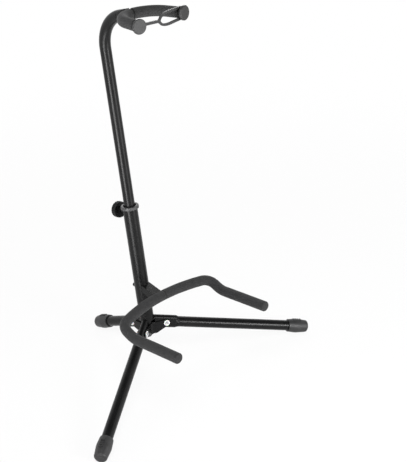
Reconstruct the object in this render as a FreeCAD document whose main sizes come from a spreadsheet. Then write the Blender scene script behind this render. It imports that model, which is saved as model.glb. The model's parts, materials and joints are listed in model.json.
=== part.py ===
import FreeCAD
import Part

import math
import os
from types import SimpleNamespace

import Sketcher
from FreeCAD import Placement, Rotation, Vector

# Guitar stand: a leaning two-part mast on a folding tripod, with a padded yoke for the body of the guitar
# and a padded cradle for its neck. Front is -Y, up is +Z, and the stand is symmetric about x = 0.
# Pieces are built with the mast upright and the hub point, where the leg axes meet the mast axis, at the
# origin. The finished stand is then leaned back and lifted so that its three feet stand on z = 0.
# Lengths are in millimetres, angles in degrees.

DIMENSIONS = {
    # Mast
    "mast_lean": 9.0,
    "lower_tube_od": 27.0,
    "lower_tube_wall": 1.5,
    "lower_tube_bottom": 3.0,
    "lower_tube_length": 229.0,
    "upper_tube_od": 20.0,
    "upper_tube_wall": 1.2,
    "upper_tube_insert": 110.0,
    "upper_tube_rise": 288.6,
    "gooseneck_radius": 59.0,
    "gooseneck_bend": 82.0,
    "gooseneck_reach": 28.5,
    "crimp_length": 14.0,
    "tongue_thickness": 3.0,
    # Collar and sliding bush
    "collar_od": 33.0,
    "collar_height": 6.4,
    "collar_lip": 1.6,
    "collar_opening": 24.0,
    "collar_round": 1.6,
    "bush_length": 18.0,
    "bush_floor": 3.0,
    "bush_bore": 12.0,
    "slide_clearance": 0.1,
    # Clamp
    "clamp_below_top": 12.5,
    "screw_od": 6.0,
    "screw_hole_clearance": 0.4,
    "nut_flats": 10.0,
    "nut_reach": 19.5,
    "knob_od": 30.0,
    "knob_thickness": 10.0,
    "knob_inner_face": 26.5,
    "knob_hub_od": 14.0,
    "knob_hub_length": 4.5,
    "knob_scallops": 20,
    "knob_scallop_od": 3.2,
    "knob_round": 1.5,
    "screw_in_knob": 7.0,
    # Legs
    "leg_od": 20.0,
    "leg_wall": 1.2,
    "leg_drop": 16.5,
    "front_leg_reach": 326.0,
    "pivot_distance": 36.5,
    "flat_width": 12.0,
    "flat_length": 18.5,
    "flat_taper": 5.5,
    "stop_gap": 0.3,
    # Foot caps
    "cap_length": 41.0,
    "cap_rim_od": 24.4,
    "cap_belly_od": 27.4,
    "cap_belly_at": 17.0,
    "cap_belly_round": 28.0,
    "cap_end_od": 22.4,
    "cap_end_round": 5.0,
    "cap_end_wall": 5.0,
    "cap_ribs": 4,
    "cap_rib_pitch": 4.6,
    "cap_rib_width": 1.8,
    "cap_rib_span": 7.5,
    "cap_rib_proud": 0.3,
    "cap_rib_first": 10.0,
    "sole_depth": 0.5,
    # Hub
    "plate_thickness": 2.0,
    "plate_top": -5.0,
    "plate_bottom": -26.5,
    "plate_web": 5.0,
    "ear_clearance": 0.3,
    "ear_tip_radius": 6.4,
    "ear_lower_slope": 24.0,
    "core_spigot": 24.0,
    "rivet_od": 6.0,
    "rivet_head_od": 6.6,
    "rivet_head_height": 1.6,
    "washer_od": 11.0,
    "washer_thickness": 1.3,
    "pin_clearance": 0.05,
    # Yoke
    "yoke_reach": 44.1,
    "yoke_height": 59.7,
    "yoke_tilt": 9.0,
    "yoke_bar_od": 10.0,
    "yoke_foam_od": 19.0,
    "yoke_half_width": 110.5,
    "yoke_back_radius": 291.0,
    "yoke_corner_radius": 22.5,
    "yoke_step_reach": 31.2,
    "yoke_step_drop": 11.8,
    "yoke_prong_radius": 40.0,
    "yoke_prong_reach": 106.5,
    "yoke_prong_rise": 11.5,
    "sleeve_end_wall": 4.0,
    "sleeve_end_round": 2.2,
    # Yoke bracket
    "bracket_width": 19.0,
    "bracket_sheet": 2.0,
    "bracket_eye_radius": 9.0,
    "bracket_rear_wall": 3.0,
    "bracket_top_slope": 19.0,
    "bracket_lower_slope": 24.0,
    "bolt_height": 70.0,
    "bolt_od": 5.0,
    "bolt_head_od": 7.0,
    "bolt_head_height": 3.0,
    "bolt_nut_flats": 8.0,
    "bolt_nut_height": 5.0,
    "bolt_nut_dome": 5.0,
    # Neck cradle
    "neck_tilt": 12.0,
    "neck_bar_od": 9.0,
    "neck_foam_od": 18.6,
    "neck_radius": 43.4,
    "neck_sweep": 80.0,
    "neck_arm": 39.0,
    "neck_notch": 4.4,
    "neck_cap_od": 24.5,
    "neck_cap_thickness": 5.0,
    "neck_cap_round": 1.6,
    "neck_cap_socket": 3.0,
    # Security strap
    "strap_thickness": 3.0,
    "strap_band": 4.6,
    "strap_strand": 4.0,
    "strap_fork": 50.0,
    "strap_sag": 3.0,
    "strap_slot_nose": 0.9,
    "strap_slot_widening": 18.0,
    "strap_slot_radius": 7.8,
    "strap_slot_end_radius": 7.0,
    "seat_gap": 0.05,
}

# Sizes worked out from the driving dimensions
DERIVED = {
    "lower_tube_top": "=lower_tube_bottom + lower_tube_length",
    "upper_tube_foot": "=lower_tube_top - upper_tube_insert",
    "gooseneck_start": "=lower_tube_top + upper_tube_rise",
    "clamp_height": "=lower_tube_top - clamp_below_top",
    "lower_tube_id": "=lower_tube_od - 2 * lower_tube_wall",
    "upper_tube_id": "=upper_tube_od - 2 * upper_tube_wall",
    "collar_bottom": "=lower_tube_top + collar_lip - collar_height",
    "pivot_radius": "=pivot_distance * cos(leg_drop)",
    "pivot_height": "=-pivot_distance * sin(leg_drop)",
    "flat_height": "=pi * (leg_od - flat_width) / 2 + flat_width",
    "ear_inner": "=flat_width / 2 + ear_clearance",
    "ear_outer": "=flat_width / 2 + ear_clearance + plate_thickness",
    "web_outer": "=(plate_web / 2 + 2 * ear_outer) / sqrt(3)",
    "web_inner": "=web_outer - plate_thickness",
    "web_inner_half": "=sqrt(3) * web_inner - 2 * ear_inner",
    "core_radius": "=web_inner - seat_gap",
    "ear_tip_low_r": "=pivot_radius + ear_tip_radius * sin(ear_lower_slope)",
    "ear_tip_low_z": "=pivot_height - ear_tip_radius * cos(ear_lower_slope)",
    "ear_foot": "=ear_tip_low_r - (ear_tip_low_z - plate_bottom) / tan(ear_lower_slope)",
    "ear_root": "=sqrt(3) / 2 * web_inner_half + web_inner / 2",
    "rivet_half": "=ear_outer + washer_thickness + 2 * seat_gap",
    "bracket_top_y": "=-yoke_reach + bracket_eye_radius * sin(bracket_top_slope)",
    "bracket_top_z": "=yoke_height + bracket_eye_radius * cos(bracket_top_slope)",
    "bracket_low_y": "=-yoke_reach + bracket_eye_radius * sin(bracket_lower_slope)",
    "bracket_low_z": "=yoke_height - bracket_eye_radius * cos(bracket_lower_slope)",
    "bracket_inner_radius": "=bracket_eye_radius - bracket_sheet",
    "bracket_inner_y": "=-yoke_reach + bracket_inner_radius * sin(bracket_top_slope)",
    "bracket_inner_z": "=yoke_height + bracket_inner_radius * cos(bracket_top_slope)",
    "saddle_radius": "=lower_tube_od / 2 + seat_gap",
    "bracket_wall_y": "=-saddle_radius - bracket_rear_wall",
    "bracket_roof_z": "=bracket_inner_z + (bracket_wall_y - bracket_inner_y) * tan(bracket_top_slope)",
    "cap_bore": "=leg_od / 2 + seat_gap",
    "neck_cap_face": "=neck_arm - neck_cap_thickness",
    "strap_hole": "=neck_bar_od / 2 / sin(neck_sweep) + strap_thickness / 2 / tan(neck_sweep) + seat_gap",
    "strap_round": "=strap_hole + strap_strand",
    "strap_reach": "=max(strap_round; neck_foam_od / 2)",
    "strap_space": "=strap_thickness / sin(neck_sweep) + 2 * strap_reach / tan(neck_sweep) + 4 * seat_gap",
    "strap_face": "=neck_cap_face - strap_space",
    "neck_arm_x": "=neck_radius * sin(neck_sweep)",
    "neck_arm_y": "=-neck_radius * (1 - cos(neck_sweep))",
}

doc = FreeCAD.newDocument("guitar_stand")
sheet = doc.addObject("Spreadsheet::Sheet", "Dims")
for row, (alias, content) in enumerate((DIMENSIONS | DERIVED).items(), start=1):
    sheet.set(f"A{row}", alias)
    sheet.set(f"B{row}", str(content))
    sheet.setAlias(f"B{row}", alias)
doc.recompute()
d = SimpleNamespace(**{alias: float(sheet.get(alias)) for alias in DIMENSIONS | DERIVED})

X_AXIS = Vector(1, 0, 0)
Y_AXIS = Vector(0, 1, 0)
Z_AXIS = Vector(0, 0, 1)
ORIGIN = Vector(0, 0, 0)


# Where the stand sits


def rounded_end_extent(end, direction, edge_radius, round_radius, along):
    """Reach along a unit vector of a disc-shaped end whose rim is rounded."""
    ring = end - direction * round_radius
    lean = direction.dot(along)
    return ring.dot(along) + (edge_radius - round_radius) * math.sqrt(1 - lean * lean) + round_radius


def leg_rotation(azimuth):
    """Turns the X axis to a leg's direction in the upright stand."""
    return Rotation(Z_AXIS, azimuth).multiply(Rotation(Y_AXIS, d.leg_drop))


# The legs stand evenly round the mast, the first one straight back
LEGS = ("rear", "left", "right")
LEG_AZIMUTH = {side: 90 + 360 / len(LEGS) * place for place, side in enumerate(LEGS)}
lean = Rotation(X_AXIS, -d.mast_lean)
leg_direction = {}
for side, azimuth in LEG_AZIMUTH.items():
    leg_direction[side] = lean.multVec(leg_rotation(azimuth).multVec(X_AXIS))

# The nose of a foot cap is a cone with a rounded end edge: the radius where its flank meets that rounding
cap_cone = math.atan2((d.cap_belly_od - d.cap_end_od) / 2, d.cap_length - d.cap_belly_at)
cap_edge = d.cap_end_od / 2 + d.cap_end_round * (1 + math.tan(cap_cone) - 1 / math.cos(cap_cone))


def foot_depth(direction, reach):
    """How far the lowest point of a foot lies below the hub point."""
    return rounded_end_extent(direction * reach, direction, cap_edge, d.cap_end_round, -Z_AXIS)


# The rear leg is as long as it has to be for all three feet to reach the floor
front_depth = foot_depth(leg_direction["right"], d.front_leg_reach)
rear_direction = leg_direction["rear"]
rear_leg_reach = (front_depth - foot_depth(rear_direction, 0)) / rear_direction.dot(-Z_AXIS)
LEG_REACH = {"left": d.front_leg_reach, "right": d.front_leg_reach, "rear": rear_leg_reach}

# Points of the right half of the yoke bar in its own frame: origin at the middle of the back
back_end_x = d.yoke_half_width - 1.1 * d.yoke_corner_radius
back_turn = math.asin(back_end_x / d.yoke_back_radius)
back_end = Vector(back_end_x, -d.yoke_back_radius * (1 - math.cos(back_turn)), 0)
corner = Vector(d.yoke_half_width, back_end.y - (d.yoke_half_width - back_end_x) * math.tan(back_turn), 0)
step = corner + Vector(0, -d.yoke_step_reach, -d.yoke_step_drop)
prong_tip = step + Vector(0, -d.yoke_prong_reach, d.yoke_prong_rise)
prong_direction = (prong_tip - step).normalize()
sleeve_tip = prong_tip + prong_direction * d.sleeve_end_wall

yoke_frame = Placement(Vector(0, -d.yoke_reach, d.yoke_height), Rotation(X_AXIS, d.yoke_tilt))

# The origin is under the middle of the stand's depth, between the yoke's tips and the rear foot
front_extent = rounded_end_extent(
    lean.multVec(yoke_frame.multVec(sleeve_tip)),
    lean.multVec(yoke_frame.Rotation.multVec(prong_direction)),
    d.yoke_foam_od / 2,
    d.sleeve_end_round,
    -Y_AXIS,
)
rear_end = rear_direction * rear_leg_reach
rear_extent = rounded_end_extent(rear_end, rear_direction, cap_edge, d.cap_end_round, Y_AXIS)
stand = Placement(Vector(0, (front_extent - rear_extent) / 2, front_depth - d.sole_depth), lean)

neck_base = Vector(
    0,
    -d.gooseneck_radius * (1 - math.cos(math.radians(d.gooseneck_bend)))
    - d.gooseneck_reach * math.sin(math.radians(d.gooseneck_bend)),
    d.gooseneck_start
    + d.gooseneck_radius * math.sin(math.radians(d.gooseneck_bend))
    + d.gooseneck_reach * math.cos(math.radians(d.gooseneck_bend)),
)
neck_tilt = Rotation(X_AXIS, d.gooseneck_bend - 90 + d.neck_tilt)
neck_frame = Placement(neck_base, neck_tilt)
clamp_frame = Placement(Vector(0, 0, d.clamp_height), Rotation(X_AXIS, -90))
bolt_frame = Placement(Vector(0, 0, d.bolt_height), Rotation(X_AXIS, -90))


# Drawing helpers


def new_body(name, frame=Placement()):
    """A body of the stand, built in the given upright frame."""
    body = doc.addObject("PartDesign::Body", name)
    body.Placement = stand.multiply(frame)
    return body


def solid(name, shape, frame=Placement()):
    """A solid of the stand that is made from curves in space."""
    feature = doc.addObject("Part::Feature", name)
    feature.Shape = shape
    feature.Placement = stand.multiply(frame)
    return feature


def origin_feature(body, role):
    return next(feature for feature in body.Origin.OriginFeatures if feature.Role == role)


def new_sketch(body, plane, name, height=None):
    """A sketch on an origin plane, raised along the plane's normal."""
    sketch = body.newObject("Sketcher::SketchObject", name)
    sketch.AttachmentSupport = (origin_feature(body, plane), [""])
    sketch.MapMode = "FlatFace"
    if height is not None:
        sketch.setExpression("AttachmentOffset.Base.z", height)
    return sketch


def dims(expression):
    """An expression whose words are the sheet's aliases."""
    words = expression.replace("(", "( ").replace(")", " )").split()
    return " ".join(f"Dims.{word}" if word in DIMENSIONS | DERIVED else word for word in words)


def bind(sketch, kind, arguments, expression):
    """Adds a dimension to a sketch and ties it to the sheet."""
    size = float(sheet.evalExpression(dims(expression)))
    index = sketch.addConstraint(Sketcher.Constraint(kind, *arguments, size))
    sketch.setExpression(f"Constraints[{index}]", dims(expression))


def pin(sketch, geometry, point, x, y):
    bind(sketch, "DistanceX", (-1, 1, geometry, point), x)
    bind(sketch, "DistanceY", (-1, 1, geometry, point), y)


def outline(sketch, corners):
    """A closed outline of straight lines through the given corners."""
    count = len(corners)
    start = sketch.GeometryCount
    turns = [2 * math.pi * i / count for i in range(count)]
    ring = [Vector(math.cos(turn), math.sin(turn), 0) for turn in turns]
    for i in range(count):
        sketch.addGeometry(Part.LineSegment(ring[i], ring[(i + 1) % count]), False)
    for i in range(count):
        sketch.addConstraint(Sketcher.Constraint("Coincident", start + i, 2, start + (i + 1) % count, 1))
    for i, (x, y) in enumerate(corners):
        pin(sketch, start + i, 1, x, y)


def circle(sketch, diameter, x="0", y="0"):
    index = sketch.addGeometry(Part.Circle(ORIGIN, Z_AXIS, 1.0), False)
    bind(sketch, "Diameter", (index,), diameter)
    pin(sketch, index, 3, x, y)


def sketch_line(sketch, start, end):
    return sketch.addGeometry(Part.LineSegment(start, end), False)


def hexagon(sketch, flats):
    half, apex = f"{flats} / 2", f"{flats} / sqrt(3)"
    outline(sketch, [
        (apex, "0"),
        (f"{apex} / 2", half),
        (f"-1 * {apex} / 2", half),
        (f"-1 * {apex}", "0"),
        (f"-1 * {apex} / 2", f"-1 * {half}"),
        (f"{apex} / 2", f"-1 * {half}"),
    ])


def pad(body, sketch, length, symmetric=False):
    feature = body.newObject("PartDesign::Pad", f"{sketch.Name}_pad")
    feature.Profile = sketch
    feature.setExpression("Length", dims(length))
    feature.SideType = "Symmetric" if symmetric else "One side"
    return feature


def pocket(body, sketch, length=None):
    """A cut to both sides of a sketch: right through, or of the given width."""
    feature = body.newObject("PartDesign::Pocket", f"{sketch.Name}_pocket")
    feature.Profile = sketch
    feature.SideType = "Symmetric"
    if length is None:
        feature.Type = "ThroughAll"
    else:
        feature.setExpression("Length", dims(length))
    return feature


def revolve(body, sketch, axis):
    feature = body.newObject("PartDesign::Revolution", f"{sketch.Name}_revolve")
    feature.Profile = sketch
    feature.ReferenceAxis = (sketch, [axis])
    feature.Angle = 360
    return feature


def ring_edges(feature, radius):
    """Names of a feature's round edges of one radius."""
    doc.recompute()
    edges = enumerate(feature.Shape.Edges, start=1)
    return [
        f"Edge{number}"
        for number, edge in edges
        if isinstance(edge.Curve, Part.Circle) and abs(edge.Curve.Radius - radius) < 1e-4
    ]


def round_edges(body, feature, edges, radius):
    fillet = body.newObject("PartDesign::Fillet", f"{feature.Name}_round")
    fillet.Base = (feature, edges)
    fillet.setExpression("Radius", dims(radius))
    return fillet


def repeat_round(body, feature, count):
    """Copies of a feature round the body's Z axis."""
    pattern = body.newObject("PartDesign::PolarPattern", f"{feature.Name}_ring")
    pattern.Originals = [feature]
    pattern.Axis = (origin_feature(body, "Z_Axis"), [""])
    pattern.Angle = 360
    pattern.Occurrences = int(count)
    body.Tip = pattern
    return pattern


def mirror(body, features):
    """The other half of features that lie on one side of x = 0."""
    mirrored = body.newObject("PartDesign::Mirrored", f"{features[0].Name}_mirror")
    mirrored.Originals = features
    mirrored.MirrorPlane = (origin_feature(body, "YZ_Plane"), [""])
    body.Tip = mirrored
    return mirrored


def other_side(name, source):
    """The left-hand piece of a pair."""
    twin = doc.addObject("Part::Mirroring", name)
    twin.Source = source
    twin.Base = ORIGIN
    twin.Normal = X_AXIS
    return twin


def bent_path(points, radii):
    """Edges of straight runs through points, with a tangent arc at each inner point."""
    edges = []
    start = points[0]
    for before, knee, after, radius in zip(points, points[1:], points[2:], radii):
        back = (before - knee).normalize()
        ahead = (after - knee).normalize()
        half_angle = back.getAngle(ahead) / 2
        setback = radius / math.tan(half_angle)
        arc_start = knee + back * setback
        arc_end = knee + ahead * setback
        middle = (back + ahead).normalize()
        arc_middle = knee + middle * (radius / math.sin(half_angle) - radius)
        edges.append(Part.LineSegment(start, arc_start).toShape())
        edges.append(Part.Arc(arc_start, arc_middle, arc_end).toShape())
        start = arc_end
    edges.append(Part.LineSegment(start, points[-1]).toShape())
    return edges


def rod(edges, radius):
    """A round rod along a path."""
    path = Part.Wire(edges)
    first = edges[0]
    direction = first.tangentAt(first.FirstParameter)
    section = Part.Wire([Part.Circle(first.valueAt(first.FirstParameter), direction, radius).toShape()])
    return path.makePipeShell([section], True, False)


# Mast


def lower_mast_tube():
    body = new_body("lower_mast_tube")
    section = new_sketch(body, "XY_Plane", "mast_section", "Dims.lower_tube_bottom")
    circle(section, "lower_tube_od")
    circle(section, "lower_tube_id")
    pad(body, section, "lower_tube_length")
    bolt_holes = new_sketch(body, "XZ_Plane", "mast_bolt_holes")
    circle(bolt_holes, "bolt_od + 4 * pin_clearance", "0", "bolt_height")
    pocket(body, bolt_holes)
    screw_hole = new_sketch(body, "XZ_Plane", "mast_screw_hole")
    circle(screw_hole, "screw_od + 2 * screw_hole_clearance", "0", "clamp_height")
    cut = pocket(body, screw_hole)
    cut.SideType = "One side"
    return body


def mast_collar():
    body = new_body("mast_collar")
    profile = new_sketch(body, "XZ_Plane", "collar_profile")
    outline(profile, [
        ("lower_tube_od / 2 + seat_gap", "collar_bottom"),
        ("collar_od / 2", "collar_bottom"),
        ("collar_od / 2", "lower_tube_top + collar_lip"),
        ("collar_opening / 2", "lower_tube_top + collar_lip"),
        ("collar_opening / 2", "lower_tube_top + seat_gap"),
        ("lower_tube_od / 2 + seat_gap", "lower_tube_top + seat_gap"),
    ])
    ring = revolve(body, profile, "V_Axis")
    round_edges(body, ring, ring_edges(ring, d.collar_od / 2), "collar_round")
    return body


def glide_bush():
    """Cup on the foot of the upper tube that slides in the lower tube."""
    body = new_body("glide_bush")
    profile = new_sketch(body, "XZ_Plane", "bush_profile")
    outer = "lower_tube_id / 2 - slide_clearance"
    outline(profile, [
        ("bush_bore / 2", "upper_tube_foot - slide_clearance - bush_floor"),
        (outer, "upper_tube_foot - slide_clearance - bush_floor"),
        (outer, "upper_tube_foot + bush_length"),
        ("upper_tube_od / 2 + slide_clearance / 2", "upper_tube_foot + bush_length"),
        ("upper_tube_od / 2 + slide_clearance / 2", "upper_tube_foot - slide_clearance"),
        ("bush_bore / 2", "upper_tube_foot - slide_clearance"),
    ])
    revolve(body, profile, "V_Axis")
    return body


def oval_wire(width, height, x):
    """A flattened round in the plane at x: straight sides and half-round ends, or a plain circle."""
    flat = (height - width) / 2
    if flat > 0:
        sides = [Vector(x, width / 2, -flat), Vector(x, width / 2, flat)]
        sides += [Vector(x, -width / 2, flat), Vector(x, -width / 2, -flat)]
        side_edges = [Part.LineSegment(sides[0], sides[1]), Part.LineSegment(sides[2], sides[3])]
    else:
        quarter = width / 2 * math.sqrt(0.5)
        sides = [Vector(x, quarter, -quarter), Vector(x, quarter, quarter)]
        sides += [Vector(x, -quarter, quarter), Vector(x, -quarter, -quarter)]
        side_edges = [
            Part.Arc(sides[0], Vector(x, width / 2, 0), sides[1]),
            Part.Arc(sides[2], Vector(x, -width / 2, 0), sides[3]),
        ]
    top = Part.Arc(sides[1], Vector(x, 0, height / 2), sides[2])
    bottom = Part.Arc(sides[3], Vector(x, 0, -height / 2), sides[0])
    return Part.Wire([curve.toShape() for curve in (side_edges[0], top, side_edges[1], bottom)])


def upper_mast_tube():
    """Tube bent to a gooseneck, its end crimped to a tongue that is welded to the neck bar."""
    body = new_body("gooseneck_tube")
    section = new_sketch(body, "XY_Plane", "gooseneck_section", "Dims.upper_tube_foot")
    circle(section, "upper_tube_od")
    circle(section, "upper_tube_id")
    spine = new_sketch(body, "YZ_Plane", "gooseneck_spine")
    bend = math.radians(d.gooseneck_bend)
    foot = Vector(0, d.upper_tube_foot, 0)
    bend_start = Vector(0, d.gooseneck_start, 0)
    bend_centre = bend_start - Vector(d.gooseneck_radius, 0, 0)
    straight = sketch_line(spine, foot, bend_start)
    bend_circle = Part.Circle(bend_centre, Z_AXIS, d.gooseneck_radius)
    arc = spine.addGeometry(Part.ArcOfCircle(bend_circle, 0, bend), False)
    pin(spine, straight, 1, "0", "upper_tube_foot")
    pin(spine, straight, 2, "0", "gooseneck_start")
    spine.addConstraint(Sketcher.Constraint("Coincident", straight, 2, arc, 1))
    pin(spine, arc, 3, "-1 * gooseneck_radius", "gooseneck_start")
    bind(spine, "DistanceX", (-1, 1, arc, 2), "gooseneck_radius * ( cos( gooseneck_bend ) - 1 )")
    sweep = body.newObject("PartDesign::AdditivePipe", "gooseneck_sweep")
    sweep.Profile = section
    sweep.Spine = spine

    # The crimp is a round bar squeezed from both sides: full width at the tube, a thin tongue at the neck bar
    tongue_end = d.gooseneck_reach - d.neck_bar_od / 2 - d.seat_gap
    tongue_start = min(d.crimp_length, d.gooseneck_reach - d.neck_foam_od / 2)
    half_tongue = d.tongue_thickness / 2
    squeeze = [
        Vector(-half_tongue, -0.52 * d.upper_tube_od, 0),
        Vector(tongue_start, -half_tongue, 0),
        Vector(tongue_end + half_tongue, -half_tongue, 0),
        Vector(tongue_end + half_tongue, half_tongue, 0),
        Vector(tongue_start, half_tongue, 0),
        Vector(-half_tongue, 0.52 * d.upper_tube_od, 0),
    ]
    plan = Part.Face(Part.makePolygon(squeeze + squeeze[:1]))
    plan.translate(Vector(0, 0, -d.upper_tube_od))
    round_bar = Part.makeCylinder(d.upper_tube_od / 2, tongue_end, ORIGIN, X_AXIS)
    crimp_shape = round_bar.common(plan.extrude(Vector(0, 0, 2 * d.upper_tube_od)))
    turn = Rotation(X_AXIS, d.gooseneck_bend - 90).multiply(Rotation(Z_AXIS, -90))
    bend_end = neck_base - turn.multVec(X_AXIS) * d.gooseneck_reach
    crimp = solid("gooseneck_crimp", crimp_shape, Placement(bend_end, turn))
    joined = doc.addObject("Part::Fuse", "upper_mast_tube")
    joined.Base = body
    joined.Tool = crimp
    return joined


# Clamp


def clamp_nut():
    """Nut welded behind the mast, with the clamp screw in its bore."""
    body = new_body("clamp_nut", clamp_frame)
    shape = new_sketch(body, "XY_Plane", "nut_shape")
    hexagon(shape, "nut_flats")
    pad(body, shape, "nut_reach")
    bore = new_sketch(body, "XY_Plane", "nut_bore")
    circle(bore, "screw_od + 2 * pin_clearance")
    pocket(body, bore)
    saddle = new_sketch(body, "XZ_Plane", "nut_saddle")
    circle(saddle, "2 * saddle_radius")
    pocket(body, saddle)
    return body


def clamp_knob():
    body = new_body("clamp_knob", clamp_frame)
    disc = new_sketch(body, "XY_Plane", "knob_disc", "Dims.knob_inner_face")
    circle(disc, "knob_od")
    disc_pad = pad(body, disc, "knob_thickness")
    round_edges(body, disc_pad, ring_edges(disc_pad, d.knob_od / 2), "knob_round")
    hub = new_sketch(body, "XY_Plane", "knob_hub", "Dims.knob_inner_face - Dims.knob_hub_length")
    circle(hub, "knob_hub_od")
    pad(body, hub, "knob_hub_length + knob_round")
    bore = new_sketch(body, "XY_Plane", "knob_bore", "Dims.knob_inner_face - Dims.knob_hub_length")
    circle(bore, "screw_od + 2 * pin_clearance")
    pocket(body, bore, "2 * ( screw_in_knob + seat_gap )")
    scallop = new_sketch(body, "XY_Plane", "knob_scallop", "Dims.knob_inner_face")
    circle(scallop, "knob_scallop_od", "knob_od / 2 + knob_scallop_od / 5")
    cut = pocket(body, scallop)
    repeat_round(body, cut, d.knob_scallops)
    return body


def clamp_screw():
    """Screw held in the knob; its tip bears on the upper tube."""
    body = new_body("clamp_screw", clamp_frame)
    start = "upper_tube_od / 2 + ear_clearance"
    shank = new_sketch(body, "XY_Plane", "screw_shank", dims(start))
    circle(shank, "screw_od")
    pad(body, shank, f"knob_inner_face - knob_hub_length + screw_in_knob - ( {start} )")
    return body


# Hub and legs


def hub_core():
    """Stepped spigot in the foot of the mast."""
    body = new_body("hub_core")
    profile = new_sketch(body, "XZ_Plane", "core_profile")
    spigot = "lower_tube_id / 2 - seat_gap"
    outline(profile, [
        ("0", "plate_bottom"),
        ("core_radius", "plate_bottom"),
        ("core_radius", "lower_tube_bottom - seat_gap"),
        (spigot, "lower_tube_bottom - seat_gap"),
        (spigot, "lower_tube_bottom + core_spigot"),
        ("0", "lower_tube_bottom + core_spigot"),
    ])
    revolve(body, profile, "V_Axis")
    return body


def hub_plate(name, first_leg):
    """Pressed plate between two legs: a web on the hub core and an ear along each leg."""
    turn = LEG_AZIMUTH[first_leg] - LEG_AZIMUTH["right"]
    body = new_body(name, Placement(ORIGIN, Rotation(Z_AXIS, turn)))
    web = new_sketch(body, "XY_Plane", f"{name}_web", "Dims.plate_bottom")
    outline(web, [
        ("plate_web / 2", "-1 * web_outer"),
        ("web_inner_half", "-1 * web_inner"),
        ("-1 * web_inner_half", "-1 * web_inner"),
        ("-1 * plate_web / 2", "-1 * web_outer"),
    ])
    pad(body, web, "plate_top - plate_bottom")
    to_leg = Placement(ORIGIN, Rotation(Y_AXIS, LEG_AZIMUTH["right"]))
    ear_plane = to_leg.multiply(Placement(Z_AXIS * d.ear_inner, Rotation()))
    ear = new_sketch(body, "XZ_Plane", f"{name}_ear")
    ear.AttachmentOffset = ear_plane
    outline(ear, [
        ("ear_root", "plate_bottom"),
        ("ear_foot", "plate_bottom"),
        ("ear_tip_low_r", "ear_tip_low_z"),
        ("pivot_radius", "pivot_height"),
        ("pivot_radius", "pivot_height + ear_tip_radius"),
        ("ear_root", "plate_top"),
    ])
    ear_pad = pad(body, ear, "plate_thickness")
    tip = new_sketch(body, "XZ_Plane", f"{name}_tip")
    tip.AttachmentOffset = ear_plane
    circle(tip, "2 * ear_tip_radius", "pivot_radius", "pivot_height")
    tip_pad = pad(body, tip, "plate_thickness")
    hole = new_sketch(body, "XZ_Plane", f"{name}_hole")
    hole.AttachmentOffset = ear_plane
    circle(hole, "rivet_od + 2 * pin_clearance", "pivot_radius", "pivot_height")
    hole_cut = pocket(body, hole, "4 * plate_thickness")
    mirror(body, [ear_pad, tip_pad, hole_cut])
    return body


def pivot_profile(body, name):
    """A sketch in the plane of the rear leg's rivet: x along the rivet, y across it."""
    sketch = new_sketch(body, "XY_Plane", name, "Dims.pivot_height")
    sketch.setExpression("AttachmentOffset.Base.y", "Dims.pivot_radius")
    return sketch


def leg_rivets():
    body = new_body("leg_rivets")
    body.AllowCompound = True
    profile = pivot_profile(body, "rivet_profile")
    head = "rivet_half + rivet_head_height"
    outline(profile, [
        (f"-1 * ( {head} )", "0"),
        (f"-1 * ( {head} )", "rivet_head_od / 2 - rivet_head_height / 2"),
        ("-1 * rivet_half", "rivet_head_od / 2"),
        ("-1 * rivet_half", "rivet_od / 2"),
        ("rivet_half", "rivet_od / 2"),
        ("rivet_half", "rivet_head_od / 2"),
        (head, "rivet_head_od / 2 - rivet_head_height / 2"),
        (head, "0"),
    ])
    repeat_round(body, revolve(body, profile, "H_Axis"), len(LEG_AZIMUTH))
    return body


def rivet_washers():
    """Nylon washers between the ears and the rivet heads."""
    body = new_body("rivet_washers")
    body.AllowCompound = True
    profile = pivot_profile(body, "washer_profile")
    inner, outer = "ear_outer + seat_gap", "ear_outer + seat_gap + washer_thickness"
    for sign in ("1", "-1"):
        outline(profile, [
            (f"{sign} * ( {inner} )", "rivet_od / 2 + pin_clearance"),
            (f"{sign} * ( {outer} )", "rivet_od / 2 + pin_clearance"),
            (f"{sign} * ( {outer} )", "washer_od / 2"),
            (f"{sign} * ( {inner} )", "washer_od / 2"),
        ])
    repeat_round(body, revolve(body, profile, "H_Axis"), len(LEG_AZIMUTH))
    return body


def leg_frame(side):
    """Frame of a leg: origin at its rivet, X outward along the leg."""
    turn = leg_rotation(LEG_AZIMUTH[side])
    return Placement(turn.multVec(X_AXIS) * d.pivot_distance, turn)


def leg_skin(thickness, end):
    """The leg's outside, or its hollow when a wall thickness is given."""
    width = d.flat_width - 2 * thickness
    height = d.flat_height - 2 * thickness
    radius = d.leg_od / 2 - thickness
    round_start = d.flat_length + d.flat_taper
    inner_end = Part.Face(oval_wire(width, height, -d.pivot_distance))
    flat = inner_end.extrude(X_AXIS * (d.pivot_distance + d.flat_length))
    oval = oval_wire(width, height, d.flat_length)
    round_wire = oval_wire(2 * radius, 2 * radius, round_start)
    taper = Part.makeLoft([oval, round_wire], True)
    tube = Part.makeCylinder(radius, end - round_start, Vector(round_start, 0, 0), X_AXIS)
    return flat.fuse([taper, tube])


def leg(side):
    """Steel tube, flattened between the ears and cut square to the mast, which stops it."""
    end = LEG_REACH[side] - d.pivot_distance - d.cap_end_wall - d.seat_gap
    tube = leg_skin(0, end).cut(leg_skin(d.leg_wall, end))
    hole_radius = d.rivet_od / 2 + d.pin_clearance
    hole = Part.makeCylinder(hole_radius, 2 * d.leg_od, Vector(0, -d.leg_od, 0), Y_AXIS)
    stop = d.lower_tube_od / 2 + d.stop_gap - d.pivot_radius
    beyond_stop = Part.makeBox(d.pivot_distance, 2 * d.leg_od, 4 * d.leg_od)
    beyond_stop.translate(Vector(stop - d.pivot_distance, -d.leg_od, -2 * d.leg_od))
    beyond_stop.rotate(ORIGIN, Y_AXIS, -d.leg_drop)
    return solid(f"{side}_leg", tube.cut([hole, beyond_stop]).removeSplitter(), leg_frame(side))


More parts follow.
